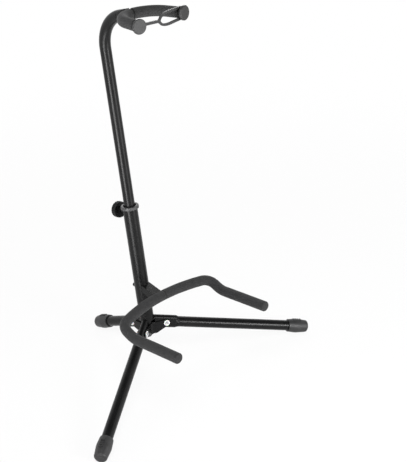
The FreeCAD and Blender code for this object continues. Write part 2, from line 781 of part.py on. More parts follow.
def foot(side, floor):
    """Bulged rubber cap with grip ribs on top, worn flat where it meets the floor."""
    name = f"{side}_foot"
    body = new_body(f"{name}_cap", leg_frame(side))
    cap_end = f"{LEG_REACH[side]} - pivot_distance"
    rim = f"{cap_end} - cap_length"
    profile = new_sketch(body, "XZ_Plane", f"{name}_profile")
    outline(profile, [
        (rim, "cap_bore"),
        (rim, "cap_rim_od / 2"),
        (f"{rim} + cap_belly_at", "cap_belly_od / 2"),
        (cap_end, "cap_end_od / 2"),
        (cap_end, "0"),
        (f"{cap_end} - cap_end_wall", "0"),
        (f"{cap_end} - cap_end_wall", "cap_bore"),
    ])
    shell = revolve(body, profile, "H_Axis")
    belly = round_edges(body, shell, ring_edges(shell, d.cap_belly_od / 2), "cap_belly_round")
    round_edges(body, belly, ring_edges(belly, d.cap_end_od / 2), "cap_end_round")
    rib = new_sketch(body, "XY_Plane", f"{name}_rib", "Dims.leg_od / 2 + Dims.cap_rib_proud")
    rib_start = f"{rim} + cap_rib_first"
    outline(rib, [
        (rib_start, "-1 * cap_rib_span / 2"),
        (f"{rib_start} + cap_rib_width", "-1 * cap_rib_span / 2"),
        (f"{rib_start} + cap_rib_width", "cap_rib_span / 2"),
        (rib_start, "cap_rib_span / 2"),
    ])
    rib_pad = pad(body, rib, "cap_belly_od / 2 - leg_od / 2")
    ribs = body.newObject("PartDesign::LinearPattern", f"{name}_ribs")
    ribs.Originals = [rib_pad]
    ribs.Direction = (origin_feature(body, "X_Axis"), [""])
    ribs.setExpression("Length", dims("cap_rib_pitch * ( cap_ribs - 1 )"))
    ribs.Occurrences = int(d.cap_ribs)
    body.Tip = ribs
    worn = doc.addObject("Part::Cut", name)
    worn.Base = body
    worn.Tool = floor
    return worn


# Yoke


def yoke_half(end):
    """Path of the right half of the yoke, from the middle of its back."""
    half_back = back_turn / 2
    back_middle = Vector(
        d.yoke_back_radius * math.sin(half_back),
        -d.yoke_back_radius * (1 - math.cos(half_back)),
        0,
    )
    back = Part.Arc(ORIGIN, back_middle, back_end).toShape()
    return [back] + bent_path([back_end, corner, step, end], [d.yoke_corner_radius, d.yoke_prong_radius])


def yoke_bar():
    half = rod(yoke_half(prong_tip), d.yoke_bar_od / 2)
    return solid("yoke_bar", half.fuse(half.mirror(ORIGIN, X_AXIS)).removeSplitter(), yoke_frame)


def round_rim(shape, point, radius, round_radius):
    """Rounds the outer rim of a sleeve near a point."""
    rims = [
        edge
        for edge in shape.Edges
        if isinstance(edge.Curve, Part.Circle)
        and abs(edge.Curve.Radius - radius) < 1e-4
        and edge.Curve.Center.distanceToPoint(point) < radius / 10
    ]
    return shape.makeFillet(round_radius, rims)


def yoke_foam_right():
    """Foam sleeve with a closed end over one prong."""
    outer = rod(yoke_half(sleeve_tip), d.yoke_foam_od / 2)
    bore = rod(yoke_half(prong_tip + prong_direction * d.seat_gap), d.yoke_bar_od / 2 + d.seat_gap)
    start = d.bracket_width / 2 + d.ear_clearance
    middle = Part.makeBox(2 * start, 4 * d.yoke_foam_od, 2 * d.yoke_foam_od)
    middle.translate(Vector(-start, -2 * d.yoke_foam_od, -d.yoke_foam_od))
    sleeve = outer.cut([bore, middle])
    closed = round_rim(sleeve, sleeve_tip, d.yoke_foam_od / 2, d.sleeve_end_round)
    return solid("yoke_foam_right", closed, yoke_frame)


def yoke_bracket():
    """Pressed channel on the front of the mast; its eye holds the middle of the yoke bar."""
    body = new_body("yoke_bracket")
    arm = new_sketch(body, "YZ_Plane", "bracket_arm")
    outline(arm, [
        ("bracket_top_y", "bracket_top_z"),
        ("bracket_low_y", "bracket_low_z"),
        ("0", "bracket_low_z - bracket_low_y * tan( bracket_lower_slope )"),
        ("0", "bracket_top_z - bracket_top_y * tan( bracket_top_slope )"),
    ])
    pad(body, arm, "bracket_width", symmetric=True)
    eye = new_sketch(body, "YZ_Plane", "bracket_eye")
    circle(eye, "2 * bracket_eye_radius", "-1 * yoke_reach", "yoke_height")
    pad(body, eye, "bracket_width", symmetric=True)
    channel = new_sketch(body, "YZ_Plane", "bracket_channel")
    outline(channel, [
        ("bracket_inner_y", "bracket_inner_z"),
        ("bracket_inner_y", "yoke_height - 2 * bracket_eye_radius"),
        ("bracket_wall_y", "yoke_height - 2 * bracket_eye_radius"),
        ("bracket_wall_y", "bracket_roof_z"),
    ])
    pocket(body, channel, "bracket_width - 2 * bracket_sheet")
    hollow = new_sketch(body, "YZ_Plane", "bracket_hollow")
    circle(hollow, "2 * bracket_inner_radius", "-1 * yoke_reach", "yoke_height")
    pocket(body, hollow, "bracket_width - 2 * bracket_sheet")
    bar_hole = new_sketch(body, "YZ_Plane", "bracket_bar_hole")
    circle(bar_hole, "yoke_bar_od + 2 * seat_gap", "-1 * yoke_reach", "yoke_height")
    pocket(body, bar_hole)
    bolt_hole = new_sketch(body, "XZ_Plane", "bracket_bolt_hole")
    circle(bolt_hole, "bolt_od + 4 * pin_clearance", "0", "bolt_height")
    pocket(body, bolt_hole, "2 * ( saddle_radius + bracket_rear_wall + seat_gap )")
    saddle = new_sketch(body, "XY_Plane", "bracket_saddle")
    circle(saddle, "2 * saddle_radius")
    pocket(body, saddle)
    return body


def yoke_bolt():
    body = new_body("yoke_bolt", bolt_frame)
    head = new_sketch(body, "XY_Plane", "bolt_head", dims("bracket_wall_y - seat_gap - bolt_head_height"))
    circle(head, "bolt_head_od")
    head_pad = pad(body, head, "bolt_head_height")
    round_edges(body, head_pad, ring_edges(head_pad, d.bolt_head_od / 2)[:1], "bolt_head_height / 3")
    shank = new_sketch(body, "XY_Plane", "bolt_shank", "Dims.bracket_wall_y - Dims.seat_gap")
    circle(shank, "bolt_od")
    pad(body, shank, "saddle_radius + bolt_nut_height + seat_gap - bracket_wall_y")
    return body


def yoke_nut():
    """Domed nut behind the mast."""
    body = new_body("yoke_nut", bolt_frame)
    flats = new_sketch(body, "XY_Plane", "nut_flats_shape", "Dims.saddle_radius")
    hexagon(flats, "bolt_nut_flats")
    pad(body, flats, "bolt_nut_height")
    dome = new_sketch(body, "XY_Plane", "nut_dome", "Dims.saddle_radius + Dims.bolt_nut_height")
    circle(dome, "bolt_nut_flats - 2 * seat_gap")
    dome_pad = pad(body, dome, "bolt_nut_dome")
    outer_end = ring_edges(dome_pad, d.bolt_nut_flats / 2 - d.seat_gap)[-1:]
    round_edges(body, dome_pad, outer_end, "bolt_nut_flats * 0.4")
    bore = new_sketch(body, "XY_Plane", "nut_bore_shape", "Dims.saddle_radius")
    circle(bore, "bolt_od + 2 * pin_clearance")
    pocket(body, bore, "2 * ( bolt_nut_height + 2 * seat_gap )")
    return body


# Neck cradle


def neck_bar():
    body = new_body("neck_bar", neck_frame)
    section = new_sketch(body, "YZ_Plane", "neck_section")
    circle(section, "neck_bar_od")
    spine = new_sketch(body, "XY_Plane", "neck_spine")
    sweep = math.radians(d.neck_sweep)
    centre = Vector(0, -d.neck_radius, 0)
    curve = Part.ArcOfCircle(Part.Circle(centre, Z_AXIS, d.neck_radius), math.pi / 2 - sweep, math.pi / 2)
    arc = spine.addGeometry(curve, False)
    pin(spine, arc, 3, "0", "-1 * neck_radius")
    spine.addConstraint(Sketcher.Constraint("Coincident", arc, 2, -1, 1))
    bind(spine, "DistanceY", (-1, 1, arc, 1), "neck_arm_y")
    arm_start = Vector(d.neck_arm_x, d.neck_arm_y, 0)
    arm_direction = Vector(math.cos(sweep), -math.sin(sweep), 0)
    arm = sketch_line(spine, arm_start, arm_start + arm_direction * d.neck_arm)
    spine.addConstraint(Sketcher.Constraint("Coincident", arc, 1, arm, 1))
    length = "( neck_cap_face + neck_cap_socket - seat_gap )"
    end_x = f"neck_arm_x + {length} * cos( neck_sweep )"
    end_y = f"neck_arm_y - {length} * sin( neck_sweep )"
    pin(spine, arm, 2, end_x, end_y)
    pipe = body.newObject("PartDesign::AdditivePipe", "neck_sweep_pipe")
    pipe.Profile = section
    pipe.Spine = spine
    mirror(body, [pipe])
    return body


def neck_half(length):
    """Path of the right half of the neck cradle, from the middle of its back."""
    sweep = math.radians(d.neck_sweep)
    middle = Vector(d.neck_radius * math.sin(sweep / 2), -d.neck_radius * (1 - math.cos(sweep / 2)), 0)
    arm_start = Vector(d.neck_arm_x, d.neck_arm_y, 0)
    arm_end = arm_start + Vector(math.cos(sweep), -math.sin(sweep), 0) * length
    return [Part.Arc(ORIGIN, middle, arm_start).toShape(), Part.LineSegment(arm_start, arm_end).toShape()]


def neck_foam_right():
    outer = rod(neck_half(d.strap_face), d.neck_foam_od / 2)
    bore = rod(neck_half(d.neck_arm), d.neck_bar_od / 2 + d.seat_gap)
    notch = Part.makeBox(d.neck_notch, 4 * d.neck_foam_od, 2 * d.neck_foam_od)
    notch.translate(Vector(-d.neck_notch / 2, -2 * d.neck_foam_od, -d.neck_foam_od))
    return solid("neck_foam_right", outer.cut([bore, notch]), neck_frame)


def arm_frame(length):
    """Frame on the right arm of the cradle: Z outward along the arm, X towards the other arm."""
    arm_start = Vector(d.neck_arm_x, d.neck_arm_y, 0)
    turn = Rotation(Z_AXIS, 90 - d.neck_sweep).multiply(Rotation(X_AXIS, 90))
    return neck_frame.multiply(Placement(arm_start + turn.multVec(Z_AXIS) * length, turn))


def neck_cap_right():
    body = new_body("neck_cap_right", arm_frame(d.neck_cap_face))
    disc = new_sketch(body, "XY_Plane", "neck_cap_disc")
    circle(disc, "neck_cap_od")
    disc_pad = pad(body, disc, "neck_cap_thickness")
    round_edges(body, disc_pad, ring_edges(disc_pad, d.neck_cap_od / 2), "neck_cap_round")
    socket = new_sketch(body, "XY_Plane", "neck_cap_socket")
    circle(socket, "neck_bar_od + 2 * seat_gap")
    pocket(body, socket, "2 * neck_cap_socket")
    return body


def circle_chain(circles):
    """A face round a row of circles on the X axis, each given as (x, radius), joined by their tangents."""
    upper = []
    for (x0, r0), (x1, r1) in zip(circles, circles[1:]):
        tilt = math.asin((r0 - r1) / (x1 - x0))
        normal = Vector(math.sin(tilt), math.cos(tilt), 0)
        upper.append((Vector(x0, 0, 0) + normal * r0, Vector(x1, 0, 0) + normal * r1))
    first_x, first_r = circles[0]
    last_x, last_r = circles[-1]
    flip = [tuple(Vector(p.x, -p.y, 0) for p in run) for run in upper]
    edges = [Part.Arc(flip[0][0], Vector(first_x - first_r, 0, 0), upper[0][0]).toShape()]
    for i, run in enumerate(upper):
        edges.append(Part.LineSegment(*run).toShape())
        if i + 1 < len(upper):
            edges.append(Part.LineSegment(run[1], upper[i + 1][0]).toShape())
    edges.append(Part.Arc(upper[-1][1], Vector(last_x + last_r, 0, 0), flip[-1][1]).toShape())
    for i, run in reversed(list(enumerate(flip))):
        edges.append(Part.LineSegment(run[1], run[0]).toShape())
        if i > 0:
            edges.append(Part.LineSegment(run[0], flip[i - 1][1]).toShape())
    return Part.Face(Part.Wire(edges))


def security_strap():
    """Rubber strap across the cradle's mouth: an eye on the left bar, a wide loop over the right bar."""
    sweep = math.radians(d.neck_sweep)
    middle_length = (d.strap_face + d.neck_cap_face) / 2
    bar_x = d.neck_arm_x + middle_length * math.cos(sweep)
    bar_y = d.neck_arm_y - middle_length * math.sin(sweep)
    thickness = Z_AXIS * d.strap_thickness

    # The strap hangs a little: its band slopes down to the fork and its loop rises again to the right bar
    fork = Vector(d.strap_fork, -d.strap_sag, 0)
    to_bar = Vector(2 * bar_x, 0, 0) - fork
    band_slope = math.degrees(math.atan2(fork.y, fork.x))
    loop_slope = math.degrees(math.atan2(to_bar.y, to_bar.x))
    slot_end = to_bar.Length + d.strap_hole - d.strap_slot_end_radius
    slot_circles = [(0, d.strap_slot_nose)]
    for share in (0.25, 0.5, 0.75, 1):
        bulge = math.sqrt(1 - (1 - share) ** 2)
        slot_circles.append((d.strap_slot_widening * share, d.strap_slot_radius * bulge))
    slot_circles.append((slot_end, d.strap_slot_end_radius))
    loop = circle_chain([(x, radius + d.strap_strand) for x, radius in slot_circles]).extrude(thickness)
    slot = circle_chain(slot_circles).extrude(thickness)
    for shape in (loop, slot):
        shape.rotate(ORIGIN, Z_AXIS, loop_slope)
        shape.translate(fork)
    band = Part.makeBox(fork.Length, d.strap_band, d.strap_thickness)
    band.translate(Vector(0, -d.strap_band / 2, 0))
    band.rotate(ORIGIN, Z_AXIS, band_slope)
    eye = Part.makeCylinder(d.strap_round, d.strap_thickness)
    eye_hole = Part.makeCylinder(d.strap_hole, d.strap_thickness)
    strap = eye.fuse([band, loop]).cut([eye_hole, slot]).removeSplitter()
    place = Placement(Vector(-bar_x, bar_y + d.strap_thickness / 2, 0), Rotation(X_AXIS, 90))
    return solid("security_strap", strap, neck_frame.multiply(place))


floor = doc.addObject("Part::Box", "floor_below")
FLOOR_SPAN = 4 * d.front_leg_reach
floor.Length = FLOOR_SPAN
floor.Width = FLOOR_SPAN
floor.Height = d.cap_length
floor.Placement = Placement(Vector(-FLOOR_SPAN / 2, -FLOOR_SPAN / 2, -d.cap_length), Rotation())

sleeve_right = yoke_foam_right()
neck_sleeve_right = neck_foam_right()
cap_right = neck_cap_right()
nodes = [
    lower_mast_tube(),
    mast_collar(),
    clamp_nut(),
    hub_core(),
    hub_plate("hub_plate_front", "right"),
    hub_plate("hub_plate_right", "rear"),
    hub_plate("hub_plate_left", "left"),
    leg_rivets(),
    rivet_washers(),
    yoke_bracket(),
    yoke_bolt(),
    yoke_nut(),
    yoke_bar(),
    sleeve_right,
    other_side("yoke_foam_left", sleeve_right),
    glide_bush(),
    upper_mast_tube(),
    neck_bar(),
    neck_sleeve_right,
    other_side("neck_foam_left", neck_sleeve_right),
    cap_right,
    other_side("neck_cap_left", cap_right),
    security_strap(),
    clamp_knob(),
    clamp_screw(),
]
nodes += [leg(side) for side in LEG_AZIMUTH]
nodes += [foot(side, floor) for side in LEG_AZIMUTH]

doc.recompute()
failed = [item.Name for item in doc.Objects if "Invalid" in item.State or "Error" in item.State]
if failed:
    raise RuntimeError(f"features that did not build: {failed}")
for node in nodes:
    if node.Shape.isNull() or not node.Shape.isValid() or not node.Shape.Solids:
        raise RuntimeError(f"{node.Label} is not a valid solid")

os.makedirs("parts", exist_ok=True)
for node in nodes:
    node.Shape.exportStep(os.path.join("parts", f"{node.Label}.step"))
    print(node.Label, len(node.Shape.Solids), round(node.Shape.Volume, 1))
print("rear leg reach", round(rear_leg_reach, 2))
print("hub height", round(stand.Base.z, 2), "shift", round(stand.Base.y, 2))
print("neck sleeve arm", round(d.strap_face, 2))
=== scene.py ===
import json
import math

import bpy
from mathutils import Matrix, Vector, noise


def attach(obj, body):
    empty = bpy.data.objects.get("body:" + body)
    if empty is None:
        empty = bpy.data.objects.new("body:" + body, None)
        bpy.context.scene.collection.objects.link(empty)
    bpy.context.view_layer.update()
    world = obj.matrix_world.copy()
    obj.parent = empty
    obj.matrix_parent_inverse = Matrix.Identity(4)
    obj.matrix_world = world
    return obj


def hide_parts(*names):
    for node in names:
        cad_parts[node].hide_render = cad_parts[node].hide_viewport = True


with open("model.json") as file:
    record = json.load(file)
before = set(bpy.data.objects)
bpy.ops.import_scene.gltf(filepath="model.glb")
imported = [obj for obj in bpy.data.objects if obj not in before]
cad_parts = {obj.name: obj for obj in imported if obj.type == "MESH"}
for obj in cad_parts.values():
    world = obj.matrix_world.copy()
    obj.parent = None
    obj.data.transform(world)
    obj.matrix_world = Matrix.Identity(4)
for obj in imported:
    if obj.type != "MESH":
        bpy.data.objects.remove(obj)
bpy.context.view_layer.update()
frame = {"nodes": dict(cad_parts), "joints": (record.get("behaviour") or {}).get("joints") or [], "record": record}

# Guitar stand. The steel, plastic and rubber pieces are the frame's own, and the foam sleeves are modelled
# here. Lengths are in metres, in the frame's axes: front is -Y, up is +Z.

MM = 0.001
UP = Vector((0, 0, 1))
# Height of the upper tube's foot above the hub, along the mast
UPPER_TUBE_FOOT = 122 * MM

joints = {joint["name"]: joint for joint in frame["joints"]}
mast_axis = Vector(joints["height_slide"]["axis"])
mast_lean = math.atan2(mast_axis.y, mast_axis.z)
hub = Vector(joints["neck_swivel"]["pos_m"]) - mast_axis * UPPER_TUBE_FOOT
# Axes with their origin in the hub and Z along the mast
stand = Matrix.Translation(hub) @ Matrix.Rotation(-mast_lean, 4, "X")


# Centre lines

# Greatest distance between neighbouring points of a centre line
STEP = 2 * MM


def arc_points(centre, start, axis, angle):
    """Points along an arc, without its first one."""
    count = max(2, math.ceil(abs(angle) * (start - centre).length / STEP))
    turns = [Matrix.Rotation(angle * i / count, 3, axis) for i in range(1, count + 1)]
    return [centre + turn @ (start - centre) for turn in turns]


def line_points(start, end):
    """Points along a line, without its first one."""
    count = max(1, math.ceil((end - start).length / STEP))
    return [start.lerp(end, i / count) for i in range(1, count + 1)]


def bent_path(points, radii):
    """Points along straight runs with a tangent arc at each inner point."""
    path = [points[0]]
    for knee, after, radius in zip(points[1:], points[2:], radii):
        back = (path[-1] - knee).normalized()
        ahead = (after - knee).normalized()
        half_angle = back.angle(ahead) / 2
        arc_start = knee + back * (radius / math.tan(half_angle))
        centre = knee + (back + ahead).normalized() * (radius / math.sin(half_angle))
        axis = ahead.cross(back).normalized()
        path += line_points(path[-1], arc_start)
        path += arc_points(centre, arc_start, axis, math.pi - 2 * half_angle)
    return path + line_points(path[-1], points[-1])


def path_frames(path):
    """Distance, point and the tangent, side and top vectors along a path, carried without twist."""
    tangents = []
    for i in range(len(path)):
        ahead = path[min(i + 1, len(path) - 1)]
        behind = path[max(i - 1, 0)]
        tangents.append((ahead - behind).normalized())
    side = tangents[0].cross(UP).normalized()
    frames = []
    distance = 0.0
    for i, (point, tangent) in enumerate(zip(path, tangents)):
        if i:
            distance += (point - path[i - 1]).length
        side = (side - tangent * side.dot(tangent)).normalized()
        frames.append((distance, point, tangent, side.copy(), side.cross(tangent).normalized()))
    return frames


def mirrored(path):
    """The same path on the left of the stand."""
    return [Vector((-point.x, point.y, point.z)) for point in path]


def trimmed(path, start_x):
    """The part of a path beyond a distance from the middle of the stand."""
    keep = next(i for i, point in enumerate(path) if point.x > start_x)
    before, after = path[keep - 1], path[keep]
    share = (start_x - before.x) / (after.x - before.x)
    return [before.lerp(after, share)] + path[keep:]


# Foam tubes

RING_POINTS = 48
RIM_STEPS = 5
FOAM_SWELL = 0.16 * MM
FOAM_SWELL_SCALE = 42
FOAM_GRAIN = 0.05 * MM
FOAM_GRAIN_SCALE = 190
# Shares of the end face's radius and of the rim's rounding, for the rings of the closed end's slight dome
END_DOME = ((0.62, 0.10), (0.25, 0.20))


def foam_relief(point):
    """The slight unevenness of a cut foam tube."""
    swell = FOAM_SWELL * noise.noise(point * FOAM_SWELL_SCALE)
    return swell + FOAM_GRAIN * noise.noise(point * FOAM_GRAIN_SCALE)


def rounding(radius, round_radius):
    """Distance from a sleeve's end and radius at points round its rim, from the end face outwards."""
    rim = []
    for i in range(RIM_STEPS + 1):
        angle = math.pi / 2 * (1 - i / RIM_STEPS)
        rim.append((round_radius * (1 - math.sin(angle)), radius - round_radius * (1 - math.cos(angle))))
    return rim


def sleeve(path, radius, bore, start_round, end_round, end_wall):
    """Points and faces of a foam tube round a bar, closed at its far end where it has an end wall."""
    frames = path_frames(path)
    length = frames[-1][0]
    stations = [(item, 0.0, bore) for item in frames[::-1] if item[0] <= length - end_wall]
    stations += [(frames[0], offset, size) for offset, size in rounding(radius, start_round)]
    stations += [(item, 0.0, radius) for item in frames if start_round < item[0] < length - end_round]
    stations += [(frames[-1], -offset, size) for offset, size in rounding(radius, end_round)[::-1]]
    if end_wall:
        face = radius - end_round
        stations += [(frames[-1], end_round * height, face * share) for share, height in END_DOME]

    vertices = []
    for (_, point, tangent, side, top), offset, size in stations:
        for i in range(RING_POINTS):
            angle = 2 * math.pi * i / RING_POINTS
            outward = side * math.cos(angle) + top * math.sin(angle)
            spot = point + tangent * offset + outward * size
            relief = foam_relief(spot) if size > bore else 0.0
            vertices.append(spot + outward * relief)
    rings = [range(start, start + RING_POINTS) for start in range(0, len(vertices), RING_POINTS)]
    faces = []
    for low, high in zip(rings, rings[1:] if end_wall else rings[1:] + rings[:1]):
        for i in range(RING_POINTS):
            j = (i + 1) % RING_POINTS
            faces.append((low[i], high[i], high[j], low[j]))
    if end_wall:
        faces += [tuple(rings[0]), tuple(rings[-1])[::-1]]
    return vertices, faces


def lip(path, inner, outer, top_angle, low_angle):
    """Points and faces of a thin foam skin on the front of a tube, between two angles from its front."""
    steps = RING_POINTS // 2
    turns = [top_angle + (low_angle - top_angle) * i / steps for i in range(steps + 1)]
    vertices = []
    for _, point, _, side, top in path_frames(path):
        arc = [side * math.cos(angle) + top * math.sin(angle) for angle in turns]
        skin = [point + outward * outer for outward in arc]
        vertices += [spot + outward * foam_relief(spot) for spot, outward in zip(skin, arc)]
        vertices += [point + outward * inner for outward in arc[::-1]]
    loop = 2 * len(turns)
    last = len(vertices) - loop
    faces = [tuple(range(loop))[::-1], tuple(range(last, last + loop))]
    for low in range(0, last, loop):
        for i in range(loop):
            j = (i + 1) % loop
            faces.append((low + i, low + j, low + loop + j, low + loop + i))
    return vertices, faces


def foam_piece(name, place, shells):
    """One object from the points and faces of its shells."""
    vertices, faces = [], []
    for points, corners in shells:
        faces += [tuple(len(vertices) + i for i in face) for face in corners]
        vertices += points
    mesh = bpy.data.meshes.new(name)
    mesh.from_pydata(vertices, [], faces)
    mesh.transform(place)
    mesh.update()
    mesh.shade_smooth()
    piece = bpy.data.objects.new(name, mesh)
    bpy.context.scene.collection.objects.link(piece)
    return piece


# Lower yoke

YOKE_FOAM_RADIUS = 9.5 * MM
YOKE_REACH = 44.1 * MM
YOKE_HEIGHT = 59.7 * MM
YOKE_HALF_WIDTH = 110.5 * MM
YOKE_BACK_RADIUS = 291 * MM
YOKE_CORNER_RADIUS = 22.5 * MM
# Distance of the curved back's end from the corner, in corner radii
YOKE_BACK_SETBACK = 1.1
YOKE_STEP = Vector((0, -31.2, -11.8)) * MM
YOKE_PRONG = Vector((0, -106.5, 11.5)) * MM
YOKE_PRONG_RADIUS = 40 * MM
YOKE_END_WALL = 4 * MM
YOKE_START = 9.8 * MM
YOKE_BORE = 5.05 * MM
YOKE_END_ROUND = 2.6 * MM
# The left sleeve's lip, which lies over the front of the bracket's eye and meets the right sleeve
YOKE_LIP_BORE = 9.06 * MM
YOKE_LIP_TOP = math.radians(112)
YOKE_LIP_LOW = math.radians(-98)
YOKE_LIP_SEAM = 0.4 * MM
YOKE_JOIN_ROUND = 0.3 * MM

yoke_frame = Matrix.Translation(stand @ Vector((0, -YOKE_REACH, YOKE_HEIGHT)))
yoke_back_centre = Vector((0, -YOKE_BACK_RADIUS, 0))


def yoke_path():
    """Centre line of the right half of the yoke."""
    middle = Vector((0, 0, 0))
    back_end_x = YOKE_HALF_WIDTH - YOKE_BACK_SETBACK * YOKE_CORNER_RADIUS
    turn = math.asin(back_end_x / YOKE_BACK_RADIUS)
    back = [middle] + arc_points(yoke_back_centre, middle, UP, -turn)
    corner = back[-1] + Vector((1, -math.tan(turn), 0)) * (YOKE_HALF_WIDTH - back_end_x)
    step = corner + YOKE_STEP
    tip = step + YOKE_PRONG + YOKE_PRONG.normalized() * YOKE_END_WALL
    prong = bent_path([back[-1], corner, step, tip], [YOKE_CORNER_RADIUS, YOKE_PRONG_RADIUS])
    return back[:-1] + prong


def yoke_eye_path():
    """Centre line of the yoke over the bracket's eye, from left to right."""
    turn = math.asin(YOKE_START / YOKE_BACK_RADIUS)
    left = yoke_back_centre + Matrix.Rotation(turn, 3, UP) @ -yoke_back_centre
    return [left] + arc_points(yoke_back_centre, left, UP, YOKE_LIP_SEAM / YOKE_BACK_RADIUS - 2 * turn)


def yoke_sleeve(side, path, start_round, joined_shells):
    tube = sleeve(path, YOKE_FOAM_RADIUS, YOKE_BORE, start_round, YOKE_END_ROUND, YOKE_END_WALL)
    yoke = foam_piece(f"yoke_sleeve_{side}", yoke_frame, [tube] + joined_shells)
    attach(yoke, "base")
    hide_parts(f"yoke_foam_{side}")
    return yoke


# Neck cradle

NECK_FOAM_RADIUS = 9.3 * MM
NECK_BASE = Vector((0, -79.03, 582.98)) * MM
NECK_TILT = math.radians(4)
NECK_RADIUS = 43.4 * MM
NECK_SWEEP = math.radians(80)
NECK_ARM = 27.47 * MM
NECK_NOTCH_HALF = 2.2 * MM
NECK_BORE = 4.55 * MM
NECK_START_ROUND = 1.2 * MM
NECK_END_ROUND = 2.6 * MM

neck_frame = stand @ Matrix.Translation(NECK_BASE) @ Matrix.Rotation(NECK_TILT, 4, "X")


def neck_path():
    """Centre line of the right half of the neck cradle."""
    middle = Vector((0, 0, 0))
    arc = [middle] + arc_points(Vector((0, -NECK_RADIUS, 0)), middle, UP, -NECK_SWEEP)
    arm = Vector((math.cos(NECK_SWEEP), -math.sin(NECK_SWEEP), 0)) * NECK_ARM
    return arc + line_points(arc[-1], arc[-1] + arm)


def neck_sleeve(side, path):
    tube = sleeve(path, NECK_FOAM_RADIUS, NECK_BORE, NECK_START_ROUND, NECK_END_ROUND, end_wall=0)
    neck = foam_piece(f"neck_sleeve_{side}", neck_frame, [tube])
    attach(neck, "neck")
    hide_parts(f"neck_foam_{side}")
    return neck


yoke_right = trimmed(yoke_path(), YOKE_START)
yoke_lip = lip(yoke_eye_path(), YOKE_LIP_BORE, YOKE_FOAM_RADIUS, YOKE_LIP_TOP, YOKE_LIP_LOW)
neck_right = trimmed(neck_path(), NECK_NOTCH_HALF)
foam_pieces = [
    yoke_sleeve("right", yoke_right, YOKE_END_ROUND, []),
    neck_sleeve("right", neck_right),
    yoke_sleeve("left", mirrored(yoke_right), YOKE_JOIN_ROUND, [yoke_lip]),
    neck_sleeve("left", mirrored(neck_right)),
]


# Materials


class Surface:
    """A procedural material built from noise in the piece's own coordinates."""

    # The values of a noise between which colours and numbers are spread
    NOISE_LOW = 0.3
    NOISE_HIGH = 0.7

    def __init__(self, name):
        self.material = bpy.data.materials.new(name)
        self.material.use_nodes = True
        self.tree = self.material.node_tree
        self.shader = next(node for node in self.tree.nodes if node.type == "BSDF_PRINCIPLED")
        self.coordinates = self.tree.nodes.new("ShaderNodeTexCoord")
        self.normal = None

    def set(self, **values):
        """Sets sockets of the shader, named with underscores for spaces."""
        for socket, value in values.items():
            self.shader.inputs[socket.replace("_", " ")].default_value = value

    def noise(self, scale, detail, roughness=0.55, stretch=(1, 1, 1)):
        """Noise of a given number of cells per metre."""
        mapping = self.tree.nodes.new("ShaderNodeMapping")
        mapping.inputs["Scale"].default_value = stretch
        self.tree.links.new(self.coordinates.outputs["Object"], mapping.inputs["Vector"])
        texture = self.tree.nodes.new("ShaderNodeTexNoise")
        texture.inputs["Scale"].default_value = scale
        texture.inputs["Detail"].default_value = detail
        texture.inputs["Roughness"].default_value = roughness
        self.tree.links.new(mapping.outputs["Vector"], texture.inputs["Vector"])
        return texture.outputs["Fac"]

    def cells(self, scale):
        """Distance inside closed cells, for foam."""
        texture = self.tree.nodes.new("ShaderNodeTexVoronoi")
        texture.inputs["Scale"].default_value = scale
        self.tree.links.new(self.coordinates.outputs["Object"], texture.inputs["Vector"])
        return texture.outputs["Distance"]

    def colour_between(self, factor, low, high):
        """Spreads the base colour between two colours."""
        ramp = self.tree.nodes.new("ShaderNodeValToRGB")
        ends = zip(ramp.color_ramp.elements, (self.NOISE_LOW, self.NOISE_HIGH), (low, high))
        for element, position, colour in ends:
            element.position = position
            element.color = (*colour, 1)
        self.tree.links.new(factor, ramp.inputs["Fac"])
        self.tree.links.new(ramp.outputs["Color"], self.shader.inputs["Base Color"])

    def roughness_between(self, factor, low, high):
        """Spreads the roughness between two values."""
        spread = self.tree.nodes.new("ShaderNodeMapRange")
        spread.inputs["From Min"].default_value = self.NOISE_LOW
        spread.inputs["From Max"].default_value = self.NOISE_HIGH
        spread.inputs["To Min"].default_value = low
        spread.inputs["To Max"].default_value = high
        self.tree.links.new(factor, spread.inputs["Value"])
        self.tree.links.new(spread.outputs["Result"], self.shader.inputs["Roughness"])

    def bump(self, height, depth, strength):
        """Adds relief of a given depth in metres on top of earlier relief."""
        node = self.tree.nodes.new("ShaderNodeBump")
        node.inputs["Distance"].default_value = depth
        node.inputs["Strength"].default_value = strength
        self.tree.links.new(height, node.inputs["Height"])
        if self.normal is not None:
            self.tree.links.new(self.normal, node.inputs["Normal"])
        self.normal = node.outputs["Normal"]
        self.tree.links.new(self.normal, self.shader.inputs["Normal"])


# Blue of the slightly cool greys, as a share of their red
COOL_TINT = 1.03


def grey(value):
    return (value, value, value * COOL_TINT)


def painted_steel():
    """Gloss black powder coat with a fine orange-peel skin and slightly dull patches."""
    paint = Surface("gloss_black_coat")
    paint.set(Specular_IOR_Level=0.19)
    patches = paint.noise(scale=26, detail=4)
    paint.colour_between(patches, low=grey(0.0035), high=grey(0.0065))
    paint.roughness_between(patches, low=0.24, high=0.31)
    paint.bump(paint.noise(scale=420, detail=2), depth=0.03 * MM, strength=0.12)
    paint.bump(paint.noise(scale=1900, detail=1), depth=0.006 * MM, strength=0.2)
    return paint.material


def foam_rubber():
    """Matte closed-cell foam."""
    foam = Surface("closed_cell_foam")
    foam.set(Sheen_Weight=0.08, Sheen_Roughness=0.6, Specular_IOR_Level=0.25)
    patches = foam.noise(scale=120, detail=5, roughness=0.65)
    foam.colour_between(patches, low=grey(0.013), high=grey(0.026))
    foam.roughness_between(patches, low=0.78, high=0.92)
    foam.bump(foam.cells(scale=1500), depth=0.12 * MM, strength=0.6)
    foam.bump(foam.noise(scale=260, detail=4), depth=0.10 * MM, strength=0.5)
    return foam.material


